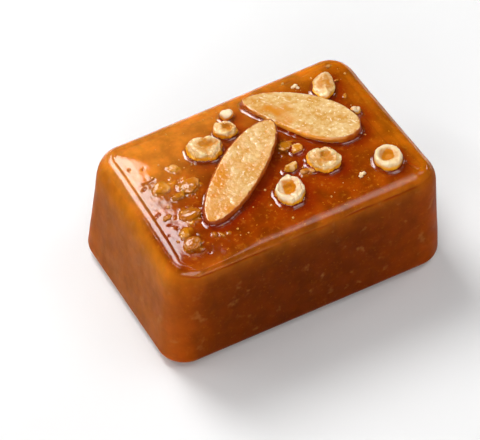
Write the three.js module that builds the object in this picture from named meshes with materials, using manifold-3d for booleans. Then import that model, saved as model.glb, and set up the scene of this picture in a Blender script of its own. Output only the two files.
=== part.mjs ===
// Caramel sweet: a moulded block of caramel topped with two almond slices and chopped nut pieces.
// Millimetres, +Z up. The base stands on Z = 0 with its centre at the origin, its length runs
// along X and its long front side faces -Y.
import * as THREE from 'three';
import { mergeVertices } from 'three/addons/utils/BufferGeometryUtils.js';
import Module from 'manifold-3d';

const wasm = await Module();
wasm.setup();

// Caramel block
const LENGTH = 46;
const WIDTH = 29.6;
const RIM_HEIGHT = 19.4;
const CORNER_RADIUS = 4.2;
const BASE_EDGE_RADIUS = 1.75;
// How far each top corner stands in from the base corner below it, along X and Y
const LEAN_FRONT_LEFT = [1.2, 0.3];
const LEAN_FRONT_RIGHT = [1.0, 0.2];
const LEAN_BACK_RIGHT = [2.1, 0.1];
const LEAN_BACK_LEFT = [1.9, 1.0];
// Top edge and top face as inset from the wall and height over the rim: a rounded edge, a low bead
// as the rim, a shallow valley inside it and a slightly raised middle
const CROWN_RISE = 0.45;
const TOP_PROFILE = [
  [0, -3.2], [0.14, -2.2], [0.55, -1.25], [1.1, -0.5], [1.6, -0.1], [2.0, 0],
  [2.7, -0.14], [3.4, -0.06], [5.5, 0.25], [9.0, 0.42], [13.2, CROWN_RISE],
];
const TOP_RINGS = 18;
const BASE_RINGS = 4;
const WALL_RINGS = 2;
const CORNER_STEPS = 5;
const LONG_STEPS = 12;
const SHORT_STEPS = 8;
// Share of its radius that a corner loses on the way to the innermost ring of the top
const CORNER_SHRINK = 0.9;

// Toppings sit in pockets that are wider than they are by this gap
const SEAT_GAP = 0.2;
const GLAZE_HEIGHT = RIM_HEIGHT + CROWN_RISE;

// Almond slices: egg widens the +X end, bend holds the square and cube terms of the centre line,
// lift is the height of the top face over the glaze at the middle and tilt raises the +X end
const SLICE_STATIONS = 26;
const SLICE_EDGE = 0.3;
const SLICE_TIP = 0.999;
// Where a slice is too narrow for its edge, its flat face keeps this share of the width
const SLICE_MIN_FACE = 0.5;
const SLICES = [
  {
    name: 'almond_slice_front', at: [-4.75, -1.5], turn: 37, length: 20.5, width: 6.7, thickness: 1.2,
    egg: 0.03, bend: [-0.2, -0.25], lift: 1.6, tilt: 4.2,
  },
  {
    name: 'almond_slice_back', at: [8.9, 4.65], turn: -51.5, length: 18.2, width: 7.7, thickness: 1.3,
    egg: 0.25, bend: [-0.5, 0.45], lift: 0.9, tilt: 2.0,
  },
];

// Chopped nut pieces: size is length and width, turn is the way the length points, sides and cut
// flatten the outline, hollow is a pit in the top with its centre, radii and depth, ridge slopes
// the top down on both sides of the length
const NUTS = [
  {
    name: 'nut_left', at: [-6.8, 5.1], size: [5.7, 4.3], turn: -14, sides: 5, cut: 0.05, rise: 1.4,
    hollow: { at: [0.6, 0.5], radii: [1.3, 0.6], depth: 0.5 }, ridge: 0,
  },
  {
    name: 'nut_back_left', at: [-2.5, 7.0], size: [3.6, 2.9], turn: -28, sides: 5, cut: 0.05, rise: 1.2,
    hollow: { at: [0.5, 0.35], radii: [0.75, 0.5], depth: 0.65 }, ridge: 0,
  },
  {
    name: 'nut_back_rim', at: [-0.8, 9.7], size: [2.1, 1.8], turn: 0, sides: 3, cut: 0.12, rise: 0.95,
    hollow: null, ridge: 0.25,
  },
  {
    name: 'nut_back_right', at: [14.55, 8.0], size: [5.4, 3.5], turn: 62, sides: 6, cut: 0.06, rise: 1.15,
    hollow: null, ridge: 0.3,
  },
  {
    name: 'nut_right', at: [7.1, -4.9], size: [5.3, 4.3], turn: -28, sides: 5, cut: 0.06, rise: 1.3,
    hollow: { at: [0.5, 0.25], radii: [0.9, 0.8], depth: 0.6 }, ridge: 0,
  },
  {
    name: 'nut_right_end', at: [15.5, -8.9], size: [4.6, 4.2], turn: 75, sides: 7, cut: 0.02, rise: 1.25,
    hollow: { at: [0.1, 0.3], radii: [1.0, 0.95], depth: 0.85 }, ridge: 0,
  },
  {
    name: 'nut_front', at: [0.0, -7.7], size: [5.2, 4.3], turn: 68, sides: 8, cut: 0.04, rise: 1.35,
    hollow: { at: [0.15, 0.4], radii: [1.25, 1.15], depth: 0.85 }, ridge: 0,
  },
  {
    name: 'nut_middle', at: [5.1, -0.75], size: [2.7, 1.6], turn: 42, sides: 4, cut: 0.12, rise: 0.6,
    hollow: null, ridge: 0,
  },
  {
    name: 'nut_middle_low', at: [2.5, -3.6], size: [3.1, 1.6], turn: 8, sides: 3, cut: 0.08, rise: 0.75,
    hollow: null, ridge: 0.35,
  },
  {
    name: 'nut_back_end', at: [16.3, 1.5], size: [2.0, 1.6], turn: 20, sides: 3, cut: 0.16, rise: 0.85,
    hollow: null, ridge: 0.2,
  },
];
const NUT_SINK = 0.7;
const NUT_POINTS_LARGE = 22;
const NUT_POINTS_SMALL = 14;
const LARGE_NUT = 3;
// Flank of a nut as share of its radius against height: 0 is the foot, 1 the glaze, 2 the rim
const NUT_FLANK = [[0.5, 0], [0.82, 0.3], [0.97, 1], [1, 1.4], [0.96, 1.8], [0.86, 2]];
const NUT_TOP_SHARES = [0.66, 0.46, 0.24];
const NUT_DOME = 0.12;

// Nut bits under the glaze at the left end show as low lumps: place, length, width, height, turn
const LUMPS = [
  { at: [-15.6, 1.9], size: [2.0, 1.8, 0.45], turn: 0 },
  { at: [-11.8, 0.3], size: [2.7, 2.2, 0.5], turn: 30 },
  { at: [-14.4, -4.75], size: [2.7, 2.2, 0.5], turn: -20 },
  { at: [-16.5, -9.4], size: [2.5, 1.8, 0.5], turn: 25 },
  { at: [-16.6, -7.2], size: [1.7, 1.3, 0.45], turn: 60 },
  { at: [-14.05, -0.6], size: [1.8, 1.0, 0.35], turn: 15 },
  { at: [-12.3, 4.4], size: [2.0, 1.2, 0.3], turn: -25 },
];
// Crumbs of nut on the glaze: place and width
const CRUMBS = [
  { at: [11.0, 10.1], width: 1.2 },
  { at: [10.7, -9.7], width: 1.0 },
  { at: [17.4, 11.6], width: 1.1 },
  { at: [4.0, -5.6], width: 1.1 },
  { at: [4.9, -6.0], width: 0.9 },
  { at: [17.3, 8.0], width: 0.8 },
  { at: [17.4, 4.7], width: 0.9 },
];
// Height of a crumb over the glaze as a share of its width
const CRUMB_HEIGHT = 0.55;

const CARAMEL = { color: '#9a4a12', roughness: 0.25, metalness: 0 };
const ALMOND = { color: '#dcae6c', roughness: 0.55, metalness: 0 };
const NUT = { color: '#d9a55f', roughness: 0.5, metalness: 0 };

const BASE_CORNERS = [[-1, -1], [1, -1], [1, 1], [-1, 1]];
const LEANS = [LEAN_FRONT_LEFT, LEAN_FRONT_RIGHT, LEAN_BACK_RIGHT, LEAN_BACK_LEFT];
const MAX_INSET = TOP_PROFILE[TOP_PROFILE.length - 1][0];
const WELD = 1e-4;
const radians = THREE.MathUtils.degToRad;

// One level outline of the block, counter-clockwise seen from above
function blockRing(inset, z) {
  const share = THREE.MathUtils.clamp((z - BASE_EDGE_RADIUS) / (RIM_HEIGHT - BASE_EDGE_RADIUS), 0, 1);
  const corners = BASE_CORNERS.map(([sx, sy], i) => new THREE.Vector2(
    sx * (LENGTH / 2 - LEANS[i][0] * share - inset),
    sy * (WIDTH / 2 - LEANS[i][1] * share - inset),
  ));
  const radius = CORNER_RADIUS * (1 - CORNER_SHRINK * inset / MAX_INSET);
  const ring = [];
  for (let i = 0; i < 4; i += 1) {
    const corner = corners[i];
    const back = corners[(i + 3) % 4].clone().sub(corner).normalize();
    const ahead = corners[(i + 1) % 4].clone().sub(corner).normalize();
    const centre = corner.clone().addScaledVector(back, radius).addScaledVector(ahead, radius);
    for (let k = 0; k <= CORNER_STEPS; k += 1) {
      const angle = (Math.PI / 2) * (k / CORNER_STEPS);
      ring.push(centre.clone()
        .addScaledVector(ahead, -radius * Math.cos(angle))
        .addScaledVector(back, -radius * Math.sin(angle)));
    }
    const next = corners[(i + 1) % 4];
    const from = ring[ring.length - 1];
    const to = next.clone().addScaledVector(ahead, -radius);
    const steps = i % 2 === 0 ? LONG_STEPS : SHORT_STEPS;
    for (let k = 1; k < steps; k += 1) ring.push(from.clone().lerp(to, k / steps));
  }
  return ring.map((p) => new THREE.Vector3(p.x, p.y, z));
}

const fromAbove = (p) => new THREE.Vector2(p.x, p.y);

// Closed solid from rings of points, all with the same count; flatten lays an end ring out to fill it
function loft(rings, flatten = fromAbove) {
  const count = rings[0].length;
  const positions = rings.flat().flatMap((p) => [p.x, p.y, p.z]);
  const index = [];
  for (let r = 0; r + 1 < rings.length; r += 1) {
    for (let k = 0; k < count; k += 1) {
      const a = r * count + k;
      const b = r * count + (k + 1) % count;
      index.push(a, b, b + count, a, b + count, a + count);
    }
  }
  const fill = (ring) => THREE.ShapeUtils.triangulateShape(ring.map(flatten), []);
  const last = (rings.length - 1) * count;
  for (const [a, b, c] of fill(rings[0])) index.push(a, c, b);
  for (const [a, b, c] of fill(rings[rings.length - 1])) index.push(last + a, last + b, last + c);
  const geometry = new THREE.BufferGeometry();
  geometry.setAttribute('position', new THREE.Float32BufferAttribute(positions, 3));
  geometry.setIndex(index);
  return geometry;
}

function blockGeometry() {
  const rings = [];
  for (let k = 0; k < BASE_RINGS; k += 1) {
    const angle = (Math.PI / 2) * (k / BASE_RINGS);
    rings.push(blockRing(BASE_EDGE_RADIUS * (1 - Math.sin(angle)), BASE_EDGE_RADIUS * (1 - Math.cos(angle))));
  }
  const wallTop = RIM_HEIGHT + TOP_PROFILE[0][1];
  for (let k = 0; k < WALL_RINGS; k += 1) {
    rings.push(blockRing(0, THREE.MathUtils.lerp(BASE_EDGE_RADIUS, wallTop, k / WALL_RINGS)));
  }
  const top = new THREE.SplineCurve(TOP_PROFILE.map(([inset, z]) => new THREE.Vector2(inset, RIM_HEIGHT + z)));
  for (const point of top.getPoints(TOP_RINGS)) rings.push(blockRing(Math.max(point.x, 0), point.y));
  return loft(rings);
}

// Almond slice lying along X with its top face at Z = 0, grown by a margin on all sides
function sliceGeometry(slice, margin) {
  const half = slice.length / 2 + margin;
  const sections = [];
  for (let k = 0; k <= SLICE_STATIONS; k += 1) {
    const s = -SLICE_TIP * Math.cos(Math.PI * (k / SLICE_STATIONS));
    const reach = (slice.width / 2) * (1 + slice.egg * s) + margin;
    const w = reach * Math.sqrt(1 - s * s);
    const c = slice.bend[0] * s * s + slice.bend[1] * s * s * s;
    const top = margin;
    const foot = -slice.thickness - margin;
    const inner = Math.max(w - SLICE_EDGE, w * SLICE_MIN_FACE);
    const shape = [
      [-inner, foot], [0, foot], [inner, foot], [w, foot + SLICE_EDGE], [w, top - SLICE_EDGE],
      [inner, top], [0, top], [-inner, top], [-w, top - SLICE_EDGE], [-w, foot + SLICE_EDGE],
    ];
    sections.push(shape.map(([y, z]) => new THREE.Vector3(s * half, c + y, z)));
  }
  return loft(sections, (p) => new THREE.Vector2(p.y, p.z));
}

function slicePlacement(slice) {
  const placement = new THREE.Object3D();
  placement.position.set(slice.at[0], slice.at[1], GLAZE_HEIGHT + slice.lift);
  placement.rotation.set(0, -radians(slice.tilt), radians(slice.turn), 'ZYX');
  placement.updateMatrix();
  return placement;
}

// Nut piece standing on its sunk foot with the glaze at Z = 0 and its length along X
function nutGeometry(nut, margin) {
  const points = nut.size[0] > LARGE_NUT ? NUT_POINTS_LARGE : NUT_POINTS_SMALL;
  const a = nut.size[0] / 2;
  const b = nut.size[1] / 2;
  const radiusAt = (angle) => {
    const oval = (a * b) / Math.hypot(b * Math.cos(angle), a * Math.sin(angle));
    return oval * (1 + nut.cut * Math.cos(nut.sides * angle)) + margin;
  };
  const topAt = (x, y) => {
    const out = Math.hypot(x / a, y / b);
    let z = nut.rise + margin + NUT_DOME * (1 - out * out) - nut.ridge * Math.abs(y);
    if (nut.hollow) {
      const dx = (x - nut.hollow.at[0]) / nut.hollow.radii[0];
      const dy = (y - nut.hollow.at[1]) / nut.hollow.radii[1];
      z -= nut.hollow.depth * Math.exp(-((dx * dx + dy * dy) ** 2));
    }
    return z;
  };
  const foot = -NUT_SINK - margin;
  const rings = [];
  for (const [share, level] of NUT_FLANK) {
    const ring = [];
    for (let k = 0; k < points; k += 1) {
      const angle = 2 * Math.PI * (k / points);
      const x = share * radiusAt(angle) * Math.cos(angle);
      const y = share * radiusAt(angle) * Math.sin(angle);
      const z = level <= 1 ? foot * (1 - level) : topAt(x, y) * (level - 1);
      ring.push(new THREE.Vector3(x, y, z));
    }
    rings.push(ring);
  }
  for (const share of NUT_TOP_SHARES) {
    rings.push(rings[rings.length - 1].map((p, k) => {
      const angle = 2 * Math.PI * (k / points);
      const x = share * radiusAt(angle) * Math.cos(angle);
      const y = share * radiusAt(angle) * Math.sin(angle);
      return new THREE.Vector3(x, y, topAt(x, y));
    }));
  }
  return loft(rings);
}

function nutPlacement(nut) {
  const placement = new THREE.Object3D();
  placement.position.set(nut.at[0], nut.at[1], GLAZE_HEIGHT);
  placement.rotation.z = radians(nut.turn);
  placement.updateMatrix();
  return placement;
}

// Half-sunk pebble fused to the block
function pebbleGeometry(at, size, turn, detail) {
  const geometry = new THREE.IcosahedronGeometry(1, detail);
  geometry.scale(size[0] / 2, size[1] / 2, size[2]);
  geometry.rotateZ(radians(turn));
  geometry.translate(at[0], at[1], glazeAt(at[0], at[1]));
  return geometry;
}

// Height of the top face at a place, from its distance to the nearest wall
function glazeAt(x, y) {
  const lean = (LEAN_FRONT_LEFT[0] + LEAN_BACK_LEFT[0]) / 2;
  const inset = Math.min(LENGTH / 2 - lean - Math.abs(x), WIDTH / 2 - Math.abs(y), MAX_INSET);
  const outer = TOP_PROFILE.findIndex(([edge]) => edge >= inset);
  const [e0, z0] = TOP_PROFILE[outer - 1];
  const [e1, z1] = TOP_PROFILE[outer];
  return RIM_HEIGHT + THREE.MathUtils.mapLinear(inset, e0, e1, z0, z1);
}

function toSolid(geometry) {
  const bare = geometry.clone();
  bare.deleteAttribute('normal');
  bare.deleteAttribute('uv');
  const merged = mergeVertices(bare, WELD);
  return new wasm.Manifold(new wasm.Mesh({
    numProp: 3,
    vertProperties: new Float32Array(merged.attributes.position.array),
    triVerts: new Uint32Array(merged.index.array),
  }));
}

function toGeometry(solid) {
  const mesh = solid.getMesh();
  const geometry = new THREE.BufferGeometry();
  geometry.setAttribute('position', new THREE.BufferAttribute(new Float32Array(mesh.vertProperties), 3));
  geometry.setIndex(new THREE.BufferAttribute(new Uint32Array(mesh.triVerts), 1));
  geometry.computeVertexNormals();
  return geometry;
}

function named(name, geometry, look) {
  geometry.computeVertexNormals();
  const mesh = new THREE.Mesh(geometry, new THREE.MeshStandardMaterial(look));
  mesh.name = name;
  return mesh;
}

let block = toSolid(blockGeometry());
for (const lump of LUMPS) block = block.add(toSolid(pebbleGeometry(lump.at, lump.size, lump.turn, 1)));
for (const crumb of CRUMBS) {
  const height = crumb.width * CRUMB_HEIGHT;
  block = block.add(toSolid(pebbleGeometry(crumb.at, [crumb.width, crumb.width, height], 0, 0)));
}

const sweet = new THREE.Group();
sweet.name = 'caramel_sweet';
const toppings = new THREE.Group();
toppings.name = 'toppings';

for (const slice of SLICES) {
  const placement = slicePlacement(slice);
  block = block.subtract(toSolid(sliceGeometry(slice, SEAT_GAP).applyMatrix4(placement.matrix)));
  const mesh = named(slice.name, sliceGeometry(slice, 0), ALMOND);
  mesh.position.copy(placement.position);
  mesh.rotation.copy(placement.rotation);
  toppings.add(mesh);
}
for (const nut of NUTS) {
  const placement = nutPlacement(nut);
  block = block.subtract(toSolid(nutGeometry(nut, SEAT_GAP).applyMatrix4(placement.matrix)));
  const mesh = named(nut.name, nutGeometry(nut, 0), NUT);
  mesh.position.copy(placement.position);
  mesh.rotation.copy(placement.rotation);
  toppings.add(mesh);
}

sweet.add(named('caramel_block', toGeometry(block), CARAMEL), toppings);

export default sweet;
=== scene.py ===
import math

import bmesh
import bpy
import numpy as np
from mathutils import Matrix, Quaternion, Vector, kdtree, noise
from mathutils.bvhtree import BVHTree


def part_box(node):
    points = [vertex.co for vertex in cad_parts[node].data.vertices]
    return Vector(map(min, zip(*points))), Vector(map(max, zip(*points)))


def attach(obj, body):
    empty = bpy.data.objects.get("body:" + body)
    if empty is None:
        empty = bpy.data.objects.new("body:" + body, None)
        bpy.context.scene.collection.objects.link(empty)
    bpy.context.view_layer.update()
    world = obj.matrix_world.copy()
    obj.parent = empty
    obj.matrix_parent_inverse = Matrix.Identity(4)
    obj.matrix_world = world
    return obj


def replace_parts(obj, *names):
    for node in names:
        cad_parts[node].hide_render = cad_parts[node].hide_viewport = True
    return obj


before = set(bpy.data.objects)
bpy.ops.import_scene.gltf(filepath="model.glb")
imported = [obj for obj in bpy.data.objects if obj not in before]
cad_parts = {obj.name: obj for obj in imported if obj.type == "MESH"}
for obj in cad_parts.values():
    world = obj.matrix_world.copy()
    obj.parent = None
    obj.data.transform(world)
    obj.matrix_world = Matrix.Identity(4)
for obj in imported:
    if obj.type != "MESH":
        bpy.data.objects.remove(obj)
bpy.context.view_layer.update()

MM = 0.001
SEED = 7

# Caramel block, as in the CAD part
block_low, block_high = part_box("caramel_block")
LENGTH = (block_high.x - block_low.x) / MM
WIDTH = (block_high.y - block_low.y) / MM
HALF_SIZE = np.array([LENGTH, WIDTH]) / 2
RIM_HEIGHT = 19.4
CORNER_RADIUS = 4.2
BASE_EDGE_RADIUS = 1.75
# Corners from the front left one round, and how far each top corner stands in from the base
CORNERS = np.array([(-1, -1), (1, -1), (1, 1), (-1, 1)])
LEAN = np.array([(1.2, 0.3), (1.0, 0.2), (2.1, 0.1), (1.9, 1.0)])
# Top edge as inset from the wall and height over the rim: a lip at the front,
# a bead and a step elsewhere
EDGE_FRONT = [
    (0, -3.2), (0.05, -2.2), (0.11, -1.5), (0.22, -1.0), (0.38, -0.62), (0.6, -0.3),
    (0.85, -0.08), (1.15, 0.08), (1.45, 0.18), (1.9, 0.27), (2.5, 0.33), (3.2, 0.37),
]
EDGE_REST = [
    (0, -3.2), (0.14, -2.2), (0.45, -1.35), (0.85, -0.75), (1.25, -0.4), (1.6, -0.19),
    (2.0, -0.06), (2.35, -0.01), (2.7, -0.03), (3.05, 0.06), (3.6, 0.145),
]
# The edges narrow by this share towards the corners, and the lip widens towards the right
EDGE_PINCH = 0.35
LIP_WIDENING = 0.28
LIP_RUN = 12.5
LIP_NARROWING = 0.34
# How quickly the front edge gives way to the other one round a corner,
# and how far into the corner it goes
EDGE_FADE = 4
EDGE_FADE_RUN = 2.5
# The top is level with the bead within the first distance from the front left corner,
# and has its full height from the second on
LEVEL_CORNER = (3.0, 8.0)
# These distances are longer along the front by this factor
LEVEL_STRETCH = 2
LEVEL_HEIGHT = -0.02
# Broken crease under the front lip: height over the rim, width, depth, usual length of a stretch,
# and how far it sways up and down over which length
CREASE_HEIGHT = -0.95
CREASE_WIDTH = 0.1
CREASE_DEPTH = 0.1
CREASE_STRETCH = 4.0
CREASE_SWAY = 0.12
CREASE_SWAY_RUN = 5.0
# Noise under the first leaves no crease, and noise over the second all of it
CREASE_BREAKS = (-0.4, 0.2)
# Lowest glossy glaze as height over the rim; the sides below are duller
GLAZE_EDGE = -0.8
# Flat middle of the top over the rim, and the least and most distance over which it falls to the edges
CROWN_RISE = 0.45
CROWN_FALL = (1.5, 5.0)
CROWN_SMOOTHING = 60
# Smoothing sets in over this distance from the edges
CROWN_GIVE = 0.9
# What is higher than this over the rim is the top; its edges stand in by about this much in x and y
TOP_FROM = -1
TOP_INSET = (1.5, 0.4)
# Lumps and ripples begin at the first distance inside the edges and are full from the second on
FLAT_INSET = (2.0, 4.0)
# Heights where the unevenness of the walls starts and is full, from the base and from the rim
WALL_UNEVEN_FROM = (0.5, 3)
WALL_UNEVEN_TO = (0.3, -0.6)
# Unevenness as height and feature size
WALL_WAVES = (0.07, 7.0)
WALL_GRAIN = (0.02, 1.8)
TOP_GRAIN = (0.014, 1.7)
RIPPLE_SIZE = 4.0
RIPPLE_HEIGHT = 0.04
# The glaze is wavier at the left end: where this starts and is full in x, at the back and at the front,
# how much higher the ripples are there, and the height and size of the fine grain
LEFT_END = (-9.5, -13)
LEFT_END_BACK = (7.5, 4.5)
LEFT_END_FRONT = (-12, -9.5)
LEFT_RIPPLE = 0.02
LEFT_GRAIN = 0.025
FINE_SIZE = 0.9

# Mesh fineness
CORNER_STEPS = 16
LONG_STEPS = 210
SHORT_STEPS = 130
EDGE_RINGS = 56
WALL_RINGS = 12
BASE_RINGS = 8
SLICE_VOXEL = 0.13
NUT_VOXEL = 0.1
SLICE_SMOOTHING = 2
NUT_SMOOTHING = 3
CURVE_STEPS = 40
CRUMB_DETAIL = 3
SPECK_DETAIL = 2
BIT_DETAIL = 4
# Distances are worked out in this many parts, to save memory
DISTANCE_CHUNKS = 40
# Rays down to the glaze start at this height
HIGH = 30
DOWN = Vector((0, 0, -1))

# Nut bits under the glaze: place, length and width, height, turn in degrees
LUMPS = [
    ((-15.6, 1.9), (2.5, 2.2), 0.55, 0),
    ((-11.8, 0.3), (3.2, 2.6), 0.6, 30),
    ((-14.4, -4.75), (3.2, 2.6), 0.6, -20),
    ((-16.5, -9.4), (3.0, 2.2), 0.6, 25),
    ((-16.6, -7.2), (2.0, 1.6), 0.5, 60),
    ((-14.05, -0.6), (2.0, 1.2), 0.4, 15),
    ((-12.3, 4.4), (2.0, 1.2), 0.3, -25),
    ((3.9, 0.4), (2.8, 2.0), 0.5, 20),
    ((3.9, -5.1), (1.5, 0.9), 0.4, 10),
    ((4.8, -5.6), (1.2, 0.8), 0.35, -40),
    ((-13.0, -9.4), (0.6, 0.9), 0.2, 0),
    ((-12.2, -9.9), (0.4, 1.0), 0.2, 20),
    ((-11.1, -10.1), (0.5, 0.5), 0.2, 0),
    ((16.4, 5.1), (1.1, 0.6), 0.25, 60),
    ((16.8, 8.4), (0.8, 0.5), 0.25, 0),
    ((17.4, 11.6), (1.0, 0.7), 0.3, 0),
]
# The glaze bulges over them by this share of their height, with grain of this height,
# and shows this share of nut; their outlines wobble by a share over a length
LUMP_COVER = 0.5
LUMP_GRAIN = 0.2
LUMP_SHOWS = 0.85
LUMP_WOBBLE = (0.5, 1.1)
# Pits and cracks in the glaze: place, length and width, turn in degrees
PITS = [
    ((-17.8, 7.6), (0.4, 0.3), 0),
    ((-16.1, 6.5), (0.3, 0.25), 0),
    ((-16.7, 3.9), (1.5, 0.3), -8),
    ((-17.6, 3.2), (0.7, 0.3), 35),
    ((-18.2, -2.1), (0.9, 0.3), 20),
    ((-17.6, -4.6), (0.6, 0.3), -30),
    ((-17.0, -5.6), (0.4, 0.3), 0),
    ((-18.6, -6.2), (0.3, 0.25), 0),
    ((-15.2, -11.8), (0.35, 0.3), 0),
]
PIT_DEPTH = 0.2
PIT_WOBBLE = (0.6, 0.6)
# Smaller nut bits at the left end: how many, between which places, their widths,
# and their length and height as shares of the width
BITS = 14
BITS_FROM = (-18.2, -10.6)
BITS_TO = (-10.6, 4.6)
BIT_WIDTHS = (0.4, 1.1)
BIT_LENGTHS = (1, 1.6)
BIT_HEIGHT = 0.35
# All nut bits stand out by this share of their height, show this much nut,
# tilt by up to these degrees and swell by a share over a length
BIT_STANDS = 0.65
BIT_SHOWS = (0.25, 0.7)
BIT_TILT = 15
BIT_SWELL = (0.3, 0.9)
BIT_KNOBS = (0.2, 0.4)
# Crumbs of nut on the glaze: place and width
CRUMBS = [((11.0, 10.1), 1.0), ((10.7, -9.7), 1.1)]
# Its grains: how many, how far off its middle and how wide as shares of its width
CRUMB_GRAINS = 4
CRUMB_SPREAD = 0.38
GRAIN_WIDTHS = (0.4, 0.65)
# Grains and specks: how their sides vary, height and lift as shares of their width, swelling,
# and how much glaze covers each
GRAIN_SIDES = (0.8, 1.2)
GRAIN_HEIGHT = 0.4
GRAIN_LIFT = 0.1
GRAIN_SWELL = (0.45, 0.9)
GRAIN_GLAZE = 0.5
SPECK_GLAZE = 0.85
# Specks on the glaze: how many, their widths and between which places
SPECKS = 60
SPECK_WIDTHS = (0.12, 0.4)
SPECKS_FROM = (-14, -12)
SPECKS_TO = (19, 12)
# They keep this far from the toppings, as measured this high over the rim
SPECK_GAP = 0.6
SPECK_LEVEL = 0.5

# The glaze climbs the toppings by this much over this distance, this share of it at an even slope
FILLET_RISE = 0.3
FILLET_REACH = 0.58
FILLET_FOOT = 0.35
FILLET_STEPS = 12
FILLET_SPACING = 0.12
FILLET_WOBBLE = (0.4, 2.2)
# Strips of it reach this far into the toppings, with outer edge and underside this deep in the glaze
FILLET_TUCK = 0.25
FILLET_EDGE_DEPTH = 0.02
FILLET_DEPTH = 0.2
# A topping's waterline is traced this far over the glaze by rays from this many half widths away,
# then smoothed; points in the band give its size, and with fewer than the least there is none
WATERLINE_LIFT = 0.05
WATERLINE_START = 1.6
WATERLINE_SMOOTHING = 3
WATERLINE_BAND = 0.2
WATERLINE_LEAST = 20
# Dark glaze and painted shadow gather by the toppings to this share within this distance, more on their
# shaded side
POOL_AND_SHADOW_SHARE = 0.6
POOL_AND_SHADOW_REACH = 1.15
SHADOW_SHIFT = (-0.6, 0.6, 0)
# Toppings are looked for within this distance
POOL_LIMIT = 3.0
# Share of painted shade in creases and pits, and of dark glaze and painted shade at the top of the
# climbing glaze
SHADE_IN_DIPS = 0.7
POOL_AND_SHADE_IN_FILLETS = 0.65

# Slices with how toasted the top is, how brown the sides are and how brown the raised end is
SLICES = {
    "almond_slice_front": (0.08, 0.9, 0.1),
    "almond_slice_back": (-0.42, 0.15, 0.3),
}
# Looks of the nut pieces: how deep they are chopped, how rough, how pale, how amber in the hollow,
# how creamy where the glaze covers them
NUT_LOOKS = {
    "nut_back_end": (0.55, 2.2, 0.1, 0.5, 0.0),
    "nut_back_left": (0.14, 1.4, 0.05, 0.9, 0.0),
    "nut_back_rim": (0.14, 0.8, 0.35, 0.0, 0.0),
    "nut_back_right": (0.28, 0.6, 0.1, 0.8, 0.0),
    "nut_front": (0.13, 1.5, 0.7, 1.0, 0.0),
    "nut_left": (0.15, 1.6, 0.1, 0.9, 0.0),
    "nut_middle": (0.35, 1.0, 0.2, 0.0, 0.7),
    "nut_middle_low": (0.35, 1.0, 0.2, 0.0, 0.9),
    "nut_right": (0.22, 1.9, 0.05, 0.8, 0.0),
    "nut_right_end": (0.06, 0.6, 0.4, 1.0, 0.0),
}
# Pieces too small for light to go deep
SMALL_NUTS = ["nut_back_end", "nut_back_rim"]
# Flat cuts on a nut piece; those on a bit, and the most they take off as a share of the reach
NUT_CUTS = 12
BIT_CUTS = (12, 0.5)
# Where marks on a slice start and are full: sides by facing, ends and raised end along it,
# border, painted glints and dark outline by distance from its edge; what faces up less than this is edge
SLICE_SIDES = (0.92, 0.7)
SLICE_ENDS = (0.55, 0.95)
SLICE_RAISED = (0.72, 0.98)
SLICE_BORDER = (0.5, 0.05)
SLICE_PAINTED_GLINTS = (0.45, 0.15)
SLICE_OUTLINE = (0.26, 0.06)
SLICE_EDGE = 0.7
# The same on a nut piece: sides by facing and height, rim by width and height,
# hollow by width and depth, and the foot in the glaze by height
NUT_SIDES = (0.85, 0.4)
NUT_SIDES_LOW = (0.15, 0.55)
NUT_RIM = (0.4, 0.7)
NUT_RIM_LOW = (0.4, 0.15)
NUT_HOLLOW_IN = (0.75, 0.3)
NUT_HOLLOW_DEEP = (0.02, 0.2)
NUT_FOOT = (0.65, 1.0)
# Squeeze of a slice's noise lengthwise, across and through, for streaks along it
STREAK_SCALE = [0.5, 1.3, 1.0]
# Heights of the relief on slices and nut pieces
SLICE_COARSE = 0.04
SLICE_FINE = 0.025
SLICE_SIDE = 0.1
NUT_COARSE = 0.09
NUT_FINE = 0.035
NUT_CREASE = 0.05

# Camera
CAMERA_AZIMUTH = -28.71
CAMERA_ELEVATION = 48.75
CAMERA_DISTANCE = 502.75
CAMERA_AIM = (-1.42, 4.41, 2.79)
CAMERA_LENS = 255
SENSOR_WIDTH = 36
# Sizes of the lamps in the key and overhead lights, and the brightness of each lamp
KEY_SIZES = np.concatenate([np.linspace(0.15, 0.35, 5), np.linspace(0.45, 1.55, 11)])
KEY_BRIGHTNESS = 1.5
OVERHEAD_SIZES = np.linspace(0.3, 1, 6)
OVERHEAD_BRIGHTNESS = 0.56
# Lamps of one light stand this far apart in depth, so no mirrored ray stops at the first
LAMP_GAP = 4
# Lamps of size 1 in these lights: azimuth and elevation in degrees, distance, width and height
KEY_LAMP = (-169, 51, 250, 106, 130)
OVERHEAD_LAMP = (58, 63, 170, 150, 110)
# Single lamps, with brightness and roll after these
LAMPS = {
    "right": (95, 24, 260, 80, 50, 5.0, 0),
    "fill": (-35, 22, 350, 300, 200, 3.8, 0),
    "back": (180, 12, 300, 400, 60, 0.35, 0),
    "left": (-116, 47, 220, 140, 14, 14, 39),
}
WORLD_BRIGHTNESS = 0.02
FLOOR_REACH = 1500


def smoothstep(low, high, x):
    t = np.clip((x - low) / (high - low), 0, 1)
    return t * t * (3 - 2 * t)


def fractal(points, size, octaves, seed):
    """Smooth noise about 0, with features of that size in millimetres."""
    offset = Vector((37.7 * seed, 11.3 * seed, 5.9 * seed))
    return np.array([noise.fractal(Vector(p) / size + offset, 1.0, 2.0, octaves) for p in points])


def relief(points, height_and_size, octaves, seed):
    """Smooth noise of that height, with features of that size."""
    height, size = height_and_size
    return height * fractal(points, size, octaves, seed)


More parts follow.
